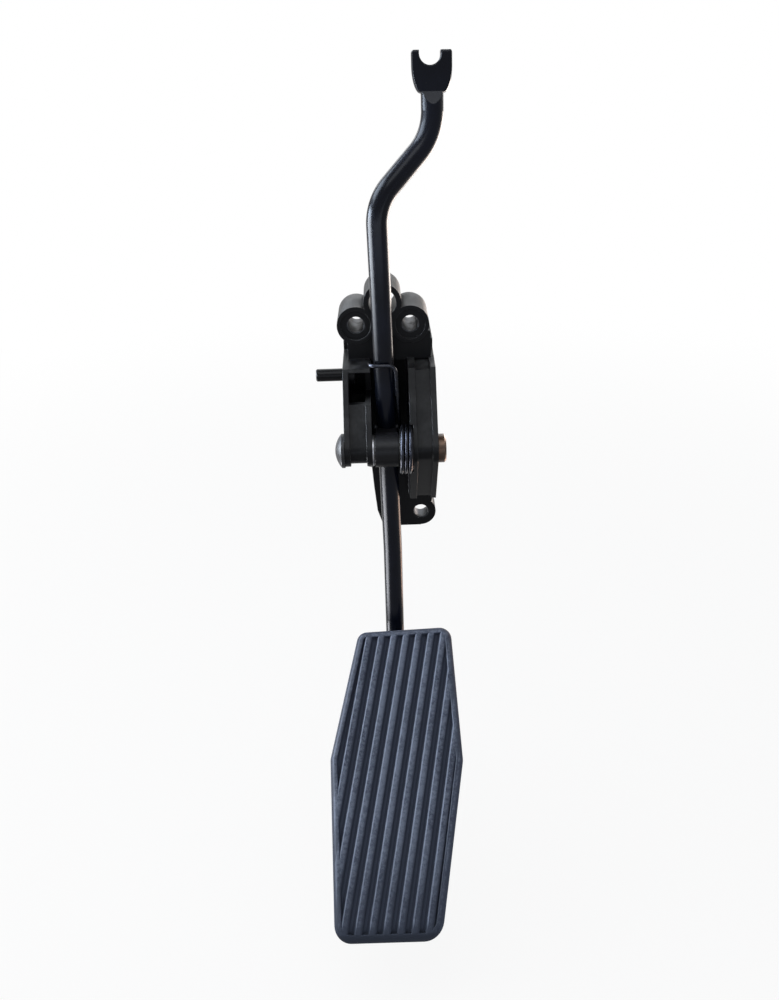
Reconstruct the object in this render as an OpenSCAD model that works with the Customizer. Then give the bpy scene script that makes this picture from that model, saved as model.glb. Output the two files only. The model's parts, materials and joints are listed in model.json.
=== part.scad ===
// Hanging accelerator pedal: a moulded firewall bracket, a bent steel lever on a sprung pivot
// and a ribbed rubber pad. Millimetres, +Z up, +Y into the firewall, +X to the driver's right.
// The origin is midway between the two upper bolts, on the face that meets the firewall.

/* [Upper bosses] */
// Distance between the two upper bolts
bolt_pitch = 21.6; // [19:0.2:26]
// Height of the locating bore above the bolt line
locator_rise = 8.8; // [8:0.1:11]
// Outer diameter of the three upper bosses
boss_od = 15; // [13.5:0.1:16]
// Length of the upper bosses, out from the firewall
boss_len = 21; // [20:0.1:23]
// Bore of the middle, locating boss
locator_bore = 10.8; // [9:0.1:11.5]
// Diameter of the shallow recess around each sleeve
recess_d = 11.9; // [11:0.1:12.5]
// Depth of that recess
recess_depth = 1; // [0.6:0.1:2]

/* [Bolt sleeves] */
// Bore of the rolled steel sleeves
sleeve_bore = 6.4; // [5.5:0.1:6.8]
// Wall of the sleeves
sleeve_wall = 0.75; // [0.6:0.05:1.4]
// Thickness of the lip that each sleeve is pressed up to
sleeve_back = 0.8; // [0.5:0.1:1.5]
// Width of the rolled seam
seam_w = 0.5; // [0.3:0.1:0.8]

/* [Bracket] */
// Depth of the plate that carries the bosses
plate_depth = 19; // [17:0.5:19.5]
// Left edge of the boss plate
plate_left = 14.5; // [14:0.1:16]
// Right edge of the boss plate
plate_right = 19; // [18.5:0.1:19.6]
// Drop of the boss plate's lower edge below the bolts
plate_drop = 15; // [14:0.5:18]
// Depth of the base plate on the firewall
base_depth = 8; // [6:0.5:9]
// Drop of the base plate's lower edge
base_drop = 98.4; // [94:0.5:106]
// Skin of the moulding
skin = 2.2; // [1.8:0.1:2.6]
// Width of each arm
arm_w = 10.9; // [10:0.1:12]
// Reach of the shelf at the top of the arms
shelf_out = 29.5; // [26:0.5:31]
// Drop of the shelf's front edge
shelf_drop = 15; // [14:0.5:17]
// Thickness of the shelf over the left arm's window
shelf_t = 1.2; // [1:0.1:2]
// Step from the arm's rims down to its web
web_step = 1.2; // [0.6:0.1:2]
// Radius of the pivot ears
ear_r = 6.3; // [5.8:0.1:7]
// Drop of the window's sill in the left arm
sill_drop = 27; // [22:0.5:30]
// Drop of the right arm's knee, where its underside turns back to the firewall
knee_drop = 73; // [66:0.5:76]
// Distance of that knee from the firewall
knee_out = 30; // [24:0.5:34]
// Lower bolt, to the right of the origin
lower_x = 14.6; // [12:0.1:16]
// Lower bolt, below the origin
lower_drop = 91.4; // [88:0.2:96]
// Outer radius of the lower lug
lug_r = 6.8; // [6.2:0.1:7.4]

/* [Pivot] */
// Distance of the pivot from the firewall
pivot_out = 42.8; // [41.5:0.2:46]
// Drop of the pivot below the upper bolts
pivot_drop = 44; // [40:0.5:48]
// Diameter of the pivot shaft
shaft_d = 6; // [5:0.1:6.6]
// Outer diameter of the lever's hub
hub_od = 13.6; // [12.5:0.1:14]
// Length of the hub over its bush flanges
hub_len = 10; // [9.4:0.1:10.6]
// Radial running clearance of the bushes on the shaft
run_gap = 0.05; // [0.02:0.01:0.09]
// Radial clearance of pieces that are pressed or glued in place
seat_gap = 0.03; // [0.01:0.01:0.05]
// Diameter of the shaft's head
head_d = 11.4; // [10:0.1:13]
// Diameter of the domed end cap
cap_d = 13.6; // [12:0.1:15]

/* [Spring] */
// Wire of the return spring
wire_d = 1.5; // [1.2:0.1:1.7]
// Outside diameter of its coils
coil_od = 19.8; // [18.6:0.1:20.6]
// Distance from coil to coil
coil_pitch = 1.65; // [1.55:0.01:1.85]

/* [Lever] */
// Diameter of the lever rod
rod_d = 8; // [7:0.1:8.6]
// Offset of the cable fork to the right
fork_x = 19.8; // [14:0.1:24]
// Height of the fork's open end above the upper bolts
fork_top = 95.4; // [90:0.5:104]
// Width of the fork
fork_w = 14.4; // [13:0.1:17]
// Thickness of the flattened fork
fork_t = 3.6; // [3:0.1:4.4]
// Width of the cable slot
slot_w = 7.6; // [6:0.1:8.6]
// Height of the fork's rounded shoulders
shoulder_h = 9; // [6:0.5:10]
// Length of the forged facets below the fork
facet_h = 4.2; // [3:0.2:5]

/* [Pad] */
// Length of the pad
pad_len = 121.4; // [112:0.2:130]
// Greatest width of the pad
pad_w = 54.6; // [50:0.2:60]
// Width of its two ends
pad_end_w = 40.5; // [36:0.2:44]
// Sideways lean of the pad's ends
pad_skew = 5.25; // [0:0.25:6]
// Thickness of the rubber over the foot plate
rubber_t = 6; // [5:0.1:7]
// Distance from groove to groove
groove_pitch = 5.4; // [4.6:0.1:6]
// Width of the grooves
groove_w = 2.3; // [1.4:0.1:2.8]
// Depth of the grooves
groove_depth = 2.2; // [1.2:0.1:2.8]
// Slant of the grooves, parallel to two of the pad's edges
groove_slant = 11; // [0:0.5:12]
// Tilt of the pad from the horizontal
pad_tilt = 35.5; // [32:0.5:40]

/* [Hidden] */
fine = 64;
coarse = 48;
eps = 0.02;
splice = 0.2;
swell = 0.012;

sleeve_r = sleeve_bore / 2 + sleeve_wall;
sleeve_len = boss_len - recess_depth - sleeve_back;
lip_gap = 0.3;
rod_r = rod_d / 2;
hub_r = hub_od / 2;
shaft_r = shaft_d / 2;
rod_y = -(pivot_out - hub_r - rod_r);

washer_t = 0.6;
side_play = 0.05;
gap_left = -(hub_len / 2 + washer_t + 2 * side_play);
left_out = gap_left - arm_w;
gap_right = 9.3;
right_out = gap_right + arm_w;
right_wall = 2.8;

coil_r = (coil_od - wire_d) / 2;
wire_r = wire_d / 2;
coil_front = hub_len / 2 + 0.15 + wire_r;
coil_start = coil_front + 2.25 * coil_pitch;
coil_back = coil_start - 2.5 * coil_pitch;
spring_wall = max(coil_start + wire_r + 0.15, gap_right + 0.4);
spool_r = coil_r - wire_r - 0.2;

pivot = [-pivot_out, -pivot_drop];
shelf_tip = [-shelf_out, -shelf_drop];
shelf_back = [0, -shelf_drop + 2];
left_heel = [0, -34];
gusset_heel = [0, -72];
knee = [-knee_out, -knee_drop];
right_heel = -knee_drop - 12;

bush_r = 4.62;
flange_t = 0.4;
flange_r = 5.8;

pad_c = [0, -97.3, -163.7];
plate_t = 2;
lip_t = 1.5;
plate_inset = 2.6;
pad_back = -(rubber_t + plate_t);
rod_under = pad_back - rod_r - 0.03;
rod_pad_x = 1.1;
pad_pts = [
    [-pad_end_w / 2 + pad_skew, pad_len / 2],
    [-pad_w / 2, -4],
    [-pad_end_w / 2 - pad_skew, -pad_len / 2],
    [pad_end_w / 2 - pad_skew, -pad_len / 2],
    [pad_w / 2, 4],
    [pad_end_w / 2 + pad_skew, pad_len / 2]
];
pad_round = 4.2;
pad_edge = 2;

function unit(v) = v / norm(v);
function perp(v) = [v[1], -v[0]];
function polar(a) = [cos(a), sin(a)];
function at(list, i) = list[(i + len(list)) % len(list)];

// A point of the pad's own frame, x across, y up the pad and z out of the tread, in the part's frame.
function from_pad(p) = pad_c + [
    p[0],
    p[1] * cos(pad_tilt) - p[2] * sin(pad_tilt),
    p[1] * sin(pad_tilt) + p[2] * cos(pad_tilt)
];

// Corner i of a counter-clockwise outline moved in by d on both of its edges.
function inner_corner(pts, i, d) =
    let (a = -perp(unit(at(pts, i) - at(pts, i - 1))), b = -perp(unit(at(pts, i + 1) - at(pts, i))))
    at(pts, i) + d * (a + b) / (1 + a * b);
function inner(pts, d) = [for (i = [0 : len(pts) - 1]) inner_corner(pts, i, d)];

// The angles that turn the axes onto three unit vectors.
function turn(ex, ey, ez) = [atan2(ey[2], ez[2]), -asin(ex[2]), atan2(ex[1], ex[0])];

// Directions of the tangents from a point to the ear circle, on either side.
function ear_normal(p, side) =
    let (v = p - pivot)
    polar(atan2(v[1], v[0]) + side * acos(ear_r / norm(v)));

// Where the lines n.q = c and m.q = d meet.
function meet(n, c, m, d) =
    let (k = n[0] * m[1] - n[1] * m[0])
    [(c * m[1] - d * n[1]) / k, (n[0] * d - m[0] * c) / k];

rod_pts = [
    [fork_x, -19.5, fork_top - 13.4],
    [fork_x, -22, 68.8],
    [-1.1, rod_y, 47.8],
    [1.2, rod_y, -96.2],
    from_pad([rod_pad_x, pad_len / 2 + 4.3, rod_under]),
    from_pad([rod_pad_x, -20, rod_under])
];
rod_bends = [0, 14, 8, 24, 14, 0];
fork_len = (fork_top - rod_pts[0][2]) / unit(rod_pts[0] - rod_pts[1])[2];
rod_lean = atan2(rod_pts[3][0] - rod_pts[2][0], rod_pts[2][2] - rod_pts[3][2]);
function rod_x(z) = rod_pts[2][0] + (rod_pts[2][2] - z) * tan(rod_lean);

buffer_z = -8;
hook_z = -11.4;
hook_y = rod_y - rod_r - wire_r - 0.1;
peg = [-24, -18.9];
peg_r = 2.5;
peg_end = -27.4;

// A closed outline with every corner rounded, in true arcs.
module rounded(pts, r) {
    in = inner(pts, r);
    polygon(in);
    for (i = [0 : len(pts) - 1]) {
        a = in[i];
        b = at(in, i + 1);
        out = perp(unit(b - a)) * (r - swell);
        polygon([a, a + out, b + out, b]);
        translate(a)
            circle(r, $fn = fine);
    }
}

// What is cut away to round the upper edge of such an outline, its top at z = 0.
module edge_cut(pts, r, e) {
    lap = 0.4;
    c = e - 0.06;
    in = inner(pts, r);
    for (i = [0 : len(pts) - 1]) {
        a = in[i];
        b = at(in, i + 1);
        before = in[(i + len(in) - 1) % len(in)];
        run = unit(b - a);
        from = atan2(perp(unit(a - before))[1], perp(unit(a - before))[0]);
        to = atan2(perp(run)[1], perp(run)[0]);
        sweep = (to - from + 720) % 360;
        translate(a)
            rotate([0, 0, atan2(run[1], run[0])])
                rotate([90, 0, 90])
                    linear_extrude(norm(b - a))
                        difference() {
                            translate([-r - 1, -e])
                                square([e + 1, e + 1]);
                            translate([-r + e, -e])
                                circle(e, $fn = coarse);
                        }
        translate(a)
            rotate([0, 0, from - lap])
                rotate_extrude(angle = sweep + 2 * lap, $fn = fine)
                    difference() {
                        translate([r - c, -c])
                            square([c + 1.2, c + 1.2]);
                        translate([r - c, -c])
                            circle(c, $fn = coarse);
                    }
    }
}

// A round bar along a list of points, each inner point bent to its own radius.
module bar(pts, bends, r, n) {
    last = len(pts) - 1;
    for (i = [0 : last - 1]) {
        d = unit(pts[i + 1] - pts[i]);
        start = i == 0 ? 0 : bend_reach(pts, bends, i);
        end = i == last - 1 ? 0 : bend_reach(pts, bends, i + 1);
        let_in = i == 0 ? 0 : splice;
        long = norm(pts[i + 1] - pts[i]) - start - end + let_in + (i == last - 1 ? 0 : splice);
        translate(pts[i] + d * (start - let_in))
            rotate([0, acos(d[2]), atan2(d[1], d[0])])
                cylinder(h = long, r = r, $fn = n);
    }
    for (i = [1 : last - 1]) {
        d0 = unit(pts[i] - pts[i - 1]);
        d1 = unit(pts[i + 1] - pts[i]);
        ez = unit(cross(d0, d1));
        ey = d0;
        ex = cross(ey, ez);
        centre = pts[i] - d0 * bend_reach(pts, bends, i) - ex * bends[i];
        translate(centre)
            rotate(turn(ex, ey, ez))
                rotate_extrude(angle = acos(d0 * d1), $fn = fine)
                    translate([bends[i], 0])
                        circle(r + swell, $fn = n);
    }
}
function bend_reach(pts, bends, i) =
    bends[i] * tan(acos(unit(pts[i] - pts[i - 1]) * unit(pts[i + 1] - pts[i])) / 2);

// Places a side profile drawn in (Y, Z) across x0 to x1.
module across(x0, x1) {
    translate([x0, 0, 0])
        rotate([90, 0, 90])
            linear_extrude(x1 - x0)
                children();
}

module at_pivot(x0, x1) {
    translate([x0, -pivot_out, -pivot_drop])
        rotate([0, 90, 0])
            children();
}

// The arm's side profile, moved in by d. Its underside runs from the ear to a foot on the
// firewall, or to a knee in front of it and then back to the heel.
module arm_profile(d, foot, heel = 0) {
    m = unit(perp(shelf_tip - shelf_back));
    n = ear_normal(shelf_tip, 1);
    k = ear_normal(foot, -1);
    reach = ear_r - d - swell;
    front = n * pivot + reach;
    under = k * pivot + reach;
    top = m * shelf_tip - d;
    h = unit(perp([0, heel] - foot));
    sole = h * foot - d;
    wall = [1, 0];
    feet = foot[0] == 0
        ? [meet(wall, 0, k, under)]
        : [meet(k, under, h, sole), meet(wall, 0, h, sole)];
    polygon(concat([
        meet(wall, 0, m, top),
        meet(n, front, m, top),
        pivot + n * reach,
        pivot,
        pivot + k * reach
    ], feet));
    translate(pivot)
        circle(ear_r - d, $fn = fine);
}

// The band that closes an arm's front and underside between its two walls.
module arm_web(x0, x1, foot, heel = 0) {
    across(x0, x1)
        difference() {
            arm_profile(web_step, foot, heel);
            arm_profile(web_step + skin, foot, heel);
        }
}

// The thin shelf over the left arm's window.
module shelf_band() {
    intersection() {
        difference() {
            arm_profile(0, left_heel);
            arm_profile(shelf_t, left_heel);
        }
        translate([-shelf_out - 1, -shelf_drop - shelf_t])
            square([shelf_out - plate_depth + 3, 8]);
    }
}

module left_arm() {
    across(left_out, left_out + skin)
        arm_profile(0, left_heel);
    difference() {
        union() {
            across(gap_left - skin, gap_left)
                arm_profile(0, gusset_heel);
            arm_web(left_out + skin - eps, gap_left - skin + eps, left_heel);
        }
        arm_window();
    }
    across(left_out + skin - eps, gap_left)
        shelf_band();
    translate([left_out + skin - eps, peg[0], peg[1]])
        rotate([0, 90, 0])
            cylinder(h = 2.4, r = peg_r + 1.6, $fn = coarse);
    at_pivot(left_out + 1, 0)
        cylinder(h = arm_w - 2, r = shaft_r + 1.9, $fn = fine);
}

module right_arm() {
    across(gap_right, gap_right + right_wall)
        arm_profile(0, knee, right_heel);
    across(right_out - skin, right_out)
        arm_profile(0, knee, right_heel);
    arm_web(gap_right + right_wall - eps, right_out - skin + eps, knee, right_heel);
    at_pivot(gap_right + right_wall - 1, 0)
        cylinder(h = arm_w - right_wall, r = shaft_r + 1.9, $fn = fine);
}

// The three tubes and the plate that carries them.
module boss_tube(x, z) {
    translate([x, 0, z])
        rotate([90, 0, 0])
            cylinder(h = boss_len, r = boss_od / 2, $fn = fine);
}

module boss_plate() {
    translate([-plate_left, -plate_depth, -plate_drop])
        cube([plate_left + plate_right, plate_depth, plate_drop - 3.4]);
    translate([-bolt_pitch / 2, -plate_depth, -6])
        cube([bolt_pitch, plate_depth, 8]);
    translate([-4.2, -plate_depth, 0])
        cube([8.4, plate_depth, locator_rise - 3]);
}

// Pockets that leave the moulding open at the firewall, between ribs.
module plate_pockets() {
    floor_y = -plate_depth + skin;
    low = -plate_drop + skin;
    for (x = [-plate_left + skin, -bolt_pitch / 2 + 5.4, 3.4, bolt_pitch / 2 + 1.2])
        translate([x, floor_y, low])
            cube([x < 0 && x > -8 ? 4.4 : 5.2, plate_depth, 4.6]);
}

module base_outline() {
    polygon([
        [left_out, -10],
        [left_out, -31],
        [gap_left - skin, -36],
        [gap_left - skin, -54],
        [-6.3, -78],
        [-5.2, -base_drop + 8.4],
        [-2.6, -base_drop],
        [lower_x, -base_drop],
        [lower_x + 4, -lower_drop],
        [right_out, -lower_drop + 9],
        [right_out, -10]
    ]);
    translate([lower_x, -lower_drop])
        circle(lug_r, $fn = fine);
}

// Drawn in (X, Z), standing out from the firewall by the base plate's depth.
module base_plate() {
    rotate([90, 0, 0])
        linear_extrude(base_depth)
            base_outline();
}

module base_pockets() {
    floor_y = -base_depth + skin;
    rows = 4;
    top = -24;
    tall = 13;
    for (k = [0 : rows - 1])
        translate([gap_left + 1.4, floor_y, top - tall - k * (tall + skin)])
            cube([gap_right - gap_left - 2.8, base_depth, tall]);
    translate([gap_left + 5.2, floor_y, -base_drop + skin])
        cube([7.6, base_depth, 8]);
    translate([left_out + skin, floor_y, -28])
        cube([arm_w - 2 * skin, base_depth, 11]);
}

module bores() {
    for (x = [-bolt_pitch / 2, bolt_pitch / 2])
        translate([x, 1, 0])
            rotate([90, 0, 0]) {
                cylinder(h = sleeve_len + 1, r = sleeve_r + seat_gap, $fn = fine);
                cylinder(h = boss_len + 2, r = sleeve_bore / 2 + lip_gap, $fn = fine);
                translate([0, 0, boss_len + 1 - recess_depth])
                    cylinder(h = recess_depth + 1, r = recess_d / 2, $fn = fine);
            }
    translate([0, 1, locator_rise])
        rotate([90, 0, 0])
            cylinder(h = boss_len + 2, r = locator_bore / 2, $fn = fine);
    translate([lower_x, 1, -lower_drop])
        rotate([90, 0, 0]) {
            cylinder(h = base_depth - sleeve_back + 1, r = sleeve_r + seat_gap, $fn = fine);
            cylinder(h = base_depth + 2, r = sleeve_bore / 2 + lip_gap, $fn = fine);
        }
    at_pivot(left_out - 1, 0)
        cylinder(h = right_out - left_out + 2, r = shaft_r + seat_gap, $fn = fine);
    translate([left_out - 1, peg[0], peg[1]])
        rotate([0, 90, 0])
            cylinder(h = 8, r = peg_r + seat_gap, $fn = coarse);
    translate([rod_x(buffer_z), -plate_depth + 5, buffer_z])
        rotate([90, 0, 0])
            cylinder(h = 8, r = 2.4 + seat_gap, $fn = coarse);
}

// The seat that the spring's last coil and its tail lie in, on the right arm's inner wall.
module spring_seat() {
    at_pivot(gap_right - 1, 0)
        cylinder(h = spring_wall - gap_right + 1, r = coil_r + wire_r + 0.5, $fn = fine);
    translate([gap_right - 1, -pivot_out, -pivot_drop + coil_r - wire_r - 0.3])
        cube([spring_wall - gap_right + 1, pivot_out - 10, wire_d + 0.6]);
}

// The opening between the left arm's shelf and its sill, which runs out into the lever's gap.
module arm_window() {
    head = -shelf_drop - shelf_t;
    translate([left_out + skin, -shelf_out - 20, -sill_drop])
        cube([arm_w - skin + 1, shelf_out + 20 - plate_depth - 1, sill_drop + head]);
}

module bracket() {
    color([0.05, 0.05, 0.06])
        difference() {
            union() {
                boss_tube(-bolt_pitch / 2, 0);
                boss_tube(bolt_pitch / 2, 0);
                boss_tube(0, locator_rise);
                boss_plate();
                base_plate();
                left_arm();
                right_arm();
            }
            plate_pockets();
            base_pockets();
            spring_seat();
            bores();
        }
}

// A rolled sleeve with its open seam towards the lower right.
module sleeve(x, z, long) {
    color([0.5, 0.5, 0.5])
        translate([x, 0, z])
            rotate([90, 0, 0])
                difference() {
                    cylinder(h = long, r = sleeve_r, $fn = fine);
                    translate([0, 0, -1])
                        cylinder(h = long + 2, r = sleeve_bore / 2, $fn = fine);
                    rotate([0, 0, -35])
                        translate([0, -seam_w / 2, -1])
                            cube([sleeve_r + 1, seam_w, long + 2]);
                }
}

module upper_left_sleeve() {
    sleeve(-bolt_pitch / 2, 0, sleeve_len);
}

module upper_right_sleeve() {
    sleeve(bolt_pitch / 2, 0, sleeve_len);
}

module lower_sleeve() {
    sleeve(lower_x, -lower_drop, base_depth - sleeve_back);
}

module pivot_shaft() {
    color([0.3, 0.28, 0.26]) {
        at_pivot(left_out - 2.4, 0)
            cylinder(h = right_out - left_out + 2.6, r = shaft_r, $fn = fine);
        at_pivot(right_out + 0.05, 0)
            cylinder(h = 2.4, r = head_d / 2, $fn = fine);
        at_pivot(right_out + 2.4, 0)
            cylinder(h = 0.7, r1 = head_d / 2, r2 = head_d / 2 - 0.7, $fn = fine);
    }
}

module shaft_cap() {
    rise = 2.6;
    rim = cap_d / 2;
    ball = (rim * rim + rise * rise) / (2 * rise);
    color([0.04, 0.04, 0.05])
        at_pivot(left_out - 0.05, 0)
            mirror([0, 0, 1])
                difference() {
                    union() {
                        cylinder(h = 1.2, r = rim, $fn = fine);
                        translate([0, 0, 1.2])
                            intersection() {
                                translate([0, 0, rise - ball])
                                    sphere(ball, $fn = fine);
                                cylinder(h = rise + 1, r = rim, $fn = fine);
                            }
                    }
                    translate([0, 0, -1])
                        cylinder(h = 3.4, r = shaft_r + seat_gap, $fn = fine);
                }
}

module left_thrust_washer() {
    color([0.75, 0.74, 0.7])
        at_pivot(gap_left + side_play, 0)
            difference() {
                cylinder(h = washer_t, r = 6.2, $fn = fine);
                translate([0, 0, -1])
                    cylinder(h = 3, r = shaft_r + 0.05, $fn = fine);
            }
}

module spring_spool() {
    color([0.06, 0.06, 0.07])
        at_pivot(hub_len / 2 + side_play, 0)
            difference() {
                cylinder(h = spring_wall - hub_len / 2 - 2 * side_play, r = spool_r, $fn = fine);
                translate([0, 0, -1])
                    cylinder(h = 12, r = shaft_r + seat_gap, $fn = fine);
            }
}

// The coils are half turns, each tilted so that the next begins where it ends.
module return_spring() {
    lean = asin(coil_pitch / 4 / coil_r);
    top = [coil_start, -pivot_out, -pivot_drop + coil_r];
    tail = [coil_start, -14, -pivot_drop + coil_r];
    back = [coil_back, -pivot_out + coil_r, -pivot_drop];
    hook = [4.3, hook_y, hook_z];
    end = [-5.6, hook_y, hook_z];
    color([0.35, 0.35, 0.38]) {
        for (k = [0 : 4])
            translate([coil_start - coil_pitch * (0.25 + k / 2), -pivot_out, -pivot_drop])
                rotate([k * 180, 0, 0])
                    rotate([0, (k % 2 == 0 ? 1 : -1) * -lean, 0])
                        rotate([90, 0, 90])
                            rotate([0, 0, 90])
                                arc(180, k % 2 == 0 ? 0 : 1);
        translate(top - [0, splice, 0])
            rotate([-90, 0, 0])
                cylinder(h = tail[1] - top[1] + splice, r = wire_r - swell, $fn = 24);
        translate([coil_back, -pivot_out, -pivot_drop])
            rotate([90, 0, 90])
                rotate([0, 0, 270])
                    arc(90, 1);
        bar([back - [0, 0, splice], back + [0, 0, 4], hook, end, end + [0, 3.4, 0]],
            [0, 16, 2, 1.6, 0], wire_r - swell, 24);
    }
}

// Part of a turn. Every second one is a hair thicker and laps over its neighbours' ends.
module arc(a, thick) {
    rotate([0, 0, -thick])
        rotate_extrude(angle = a + 2 * thick, $fn = fine)
            translate([coil_r, 0])
                circle(wire_r + thick * swell, $fn = 24);
}

// Lies along the lever's straight middle run, shifted so that z = 0 is level with the pivot.
module along_rod() {
    translate([rod_x(-pivot_drop), rod_y, -pivot_drop])
        rotate([0, -rod_lean, 0])
            children();
}

module hub() {
    long = hub_len - 2 * flange_t;
    color([0.06, 0.06, 0.07])
        difference() {
            union() {
                at_pivot(-long / 2, 0)
                    cylinder(h = long, r = hub_r, $fn = fine);
                translate([-4.1, -pivot_out + 2.8, -pivot_drop - 6])
                    cube([8.2, rod_y - 2.6 + pivot_out - 2.8, 12]);
            }
            at_pivot(-long / 2 - 1, 0)
                cylinder(h = long + 2, r = bush_r + seat_gap, $fn = fine);
            along_rod()
                translate([0, 0, -10])
                    cylinder(h = 20, r = rod_r + 0.02, $fn = fine);
        }
}

module bush(side) {
    long = hub_len / 2 - flange_t - 0.2;
    at_pivot(side > 0 ? 0.2 : -0.2, 0)
        mirror([0, 0, side > 0 ? 0 : 1])
            difference() {
                union() {
                    cylinder(h = long, r = bush_r, $fn = fine);
                    translate([0, 0, long])
                        cylinder(h = flange_t, r = flange_r, $fn = fine);
                }
                translate([0, 0, -1])
                    cylinder(h = long + 3, r = shaft_r + run_gap, $fn = fine);
            }
}

module hub_bush_left() {
    color([0.7, 0.68, 0.6])
        bush(-1);
}

module hub_bush_right() {
    color([0.7, 0.68, 0.6])
        bush(1);
}

// The rod's last run, with z = 0 at the root of the fork and x across it.
module at_fork() {
    d = unit(rod_pts[0] - rod_pts[1]);
    turn_z = atan2(d[1], d[0]);
    translate(rod_pts[0])
        rotate([0, acos(d[2]), turn_z])
            rotate([0, 0, -turn_z])
                children();
}

// The plate's face, its shoulders rounded down into the bar.
module fork_face() {
    wide = fork_w / 2 - rod_r;
    side = [for (a = [0 : 15 : 90]) [rod_r - 0.2 + (wide + 0.2) * sin(a), shoulder_h * (1 - cos(a))]];
    n = len(side);
    polygon(concat(
        side,
        [[fork_w / 2, fork_len], [-fork_w / 2, fork_len]],
        [for (i = [1 : n]) [-side[n - i][0], side[n - i][1]]]
    ));
}

// What forging takes off the front and back of the bar to leave the flat plate.
module fork_cheeks() {
    far = rod_r + 4;
    for (side = [0, 1])
        mirror([0, side, 0])
            rotate([90, 0, 90])
                linear_extrude(2 * fork_w, center = true)
                    polygon([
                        [fork_t / 2, fork_len + 1],
                        [fork_t / 2, 0.4],
                        [rod_r + 0.2, -facet_h],
                        [far, -facet_h],
                        [far, fork_len + 1]
                    ]);
}

module fork_slot() {
    slot_z = fork_len - 1;
    translate([-0.7, 0, slot_z])
        rotate([90, 0, 0])
            cylinder(h = 20, r = slot_w / 2, center = true, $fn = fine);
    translate([-0.7 - slot_w / 2, -10, slot_z])
        cube([slot_w, 20, 10]);
}

module lever_rod() {
    color([0.06, 0.07, 0.09])
        difference() {
            union() {
                bar(rod_pts, rod_bends, rod_r, fine);
                at_fork()
                    rotate([90, 0, 0])
                        linear_extrude(fork_t + 1, center = true)
                            fork_face();
            }
            at_fork()
                fork_cheeks();
            at_fork()
                fork_slot();
        }
}

module on_pad() {
    translate(pad_c)
        rotate([pad_tilt, 0, 0])
            children();
}

// A stamped plate with the weld fillets that hold the rod along its back.
module foot_plate() {
    run = pad_len / 2 - 8;
    color([0.08, 0.08, 0.09])
        on_pad()
            difference() {
                union() {
                    translate([0, 0, pad_back])
                        linear_extrude(plate_t)
                            rounded(inner(pad_pts, plate_inset), pad_round - plate_inset);
                    translate([rod_pad_x, -18, pad_back])
                        rotate([90, 0, 180])
                            linear_extrude(run + 18)
                                polygon([[-6.2, 0.2], [6.2, 0.2], [4.3, -2.6], [-4.3, -2.6]]);
                }
                translate([rod_pad_x, 0, rod_under])
                    rotate([90, 0, 0])
                        cylinder(h = 2 * pad_len, r = rod_r + 0.02, center = true, $fn = fine);
            }
}

module pad_grooves() {
    count = 10;
    step = groove_pitch * cos(groove_slant);
    intersection() {
        translate([0, 0, -groove_depth])
            linear_extrude(groove_depth + 1)
                rounded(inner(pad_pts, 3), pad_round - 2);
        rotate([0, 0, -groove_slant])
            for (k = [0 : count - 1])
                translate([(k - (count - 1) / 2) * step - groove_w / 2, -pad_len, -groove_depth])
                    cube([groove_w, 2 * pad_len, groove_depth + 1]);
    }
}

// The rubber tread, its lip turned in behind the foot plate and notched for the rod.
module pedal_pad() {
    color([0.13, 0.14, 0.17])
        on_pad()
            difference() {
                translate([0, 0, pad_back - lip_t])
                    linear_extrude(-pad_back + lip_t)
                        rounded(pad_pts, pad_round);
                edge_cut(pad_pts, pad_round, pad_edge);
                translate([0, 0, pad_back - 0.05])
                    linear_extrude(plate_t + 0.05)
                        rounded(inner(pad_pts, plate_inset - 0.05), pad_round - plate_inset + 0.05);
                translate([0, 0, pad_back - lip_t - 1])
                    linear_extrude(lip_t + 2)
                        rounded(inner(pad_pts, plate_inset + 2.4), 2);
                translate([rod_pad_x - 6.6, pad_len / 2 - 12, pad_back - lip_t - 1])
                    cube([13.2, 14, lip_t + 1]);
                translate([rod_pad_x - 6.6, pad_len / 2 - 2, pad_back - 0.5])
                    cube([13.2, 4, 0.9]);
                pad_grooves();
            }
}

module side_peg() {
    color([0.04, 0.04, 0.05]) {
        translate([peg_end + 0.4, peg[0], peg[1]])
            rotate([0, 90, 0])
                cylinder(h = left_out + skin + 2 - peg_end - 0.4, r = peg_r, $fn = coarse);
        translate([peg_end, peg[0], peg[1]])
            rotate([0, 90, 0])
                cylinder(h = 0.4, r1 = peg_r - 0.4, r2 = peg_r, $fn = coarse);
    }
}

// The rubber stop that the lever's back rests on.
module rest_buffer() {
    long = -(rod_y + rod_r) - plate_depth - 0.05;
    color([0.08, 0.08, 0.08])
        translate([rod_x(buffer_z), -plate_depth, buffer_z])
            rotate([90, 0, 0]) {
                cylinder(h = long, r = 4, $fn = coarse);
                translate([0, 0, -skin])
                    cylinder(h = skin + 1, r = 2.4, $fn = coarse);
            }
}

bracket();
upper_left_sleeve();
upper_right_sleeve();
lower_sleeve();
pivot_shaft();
shaft_cap();
left_thrust_washer();
spring_spool();
return_spring();
hub();
hub_bush_left();
hub_bush_right();
lever_rod();
foot_plate();
pedal_pad();
side_peg();
rest_buffer();
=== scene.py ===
"""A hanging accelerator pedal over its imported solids: metres, Z up, Y into the firewall, X right."""
import json
import logging
import math
from dataclasses import dataclass
from enum import Enum
from typing import Dict, List, Optional, Sequence, Tuple, Union

import bmesh
import bpy
import numpy as np
from mathutils import Matrix, Vector

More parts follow.
